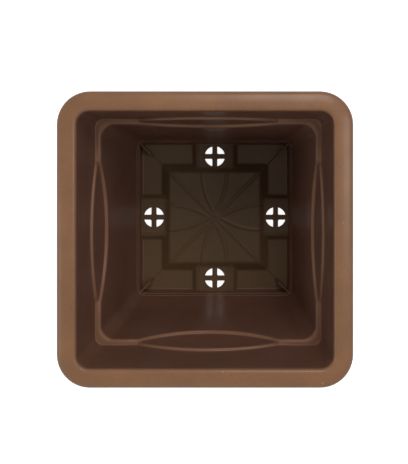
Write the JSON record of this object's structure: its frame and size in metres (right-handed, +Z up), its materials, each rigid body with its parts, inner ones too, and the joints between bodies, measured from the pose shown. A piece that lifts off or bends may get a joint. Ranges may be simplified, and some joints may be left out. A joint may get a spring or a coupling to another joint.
{
  "type": "square plant pot",
  "caption": "Square tapered plant pot with a rolled rim, a stepped collar with an eye-shaped panel on each side, and a raised floor with barred drain holes.",
  "frame": {"origin": "centre of the base, on the surface that the pot stands on", "axes": "+Z up through the open mouth; X and Y square to the four sides"},
  "size_m": [0.302, 0.302, 0.265],
  "materials": {
    "pot": "brown moulded plastic, satin, with a fine even grain"
  },
  "bodies": {
    "root": {"pot": "pot"}
  },
  "joints": []
}
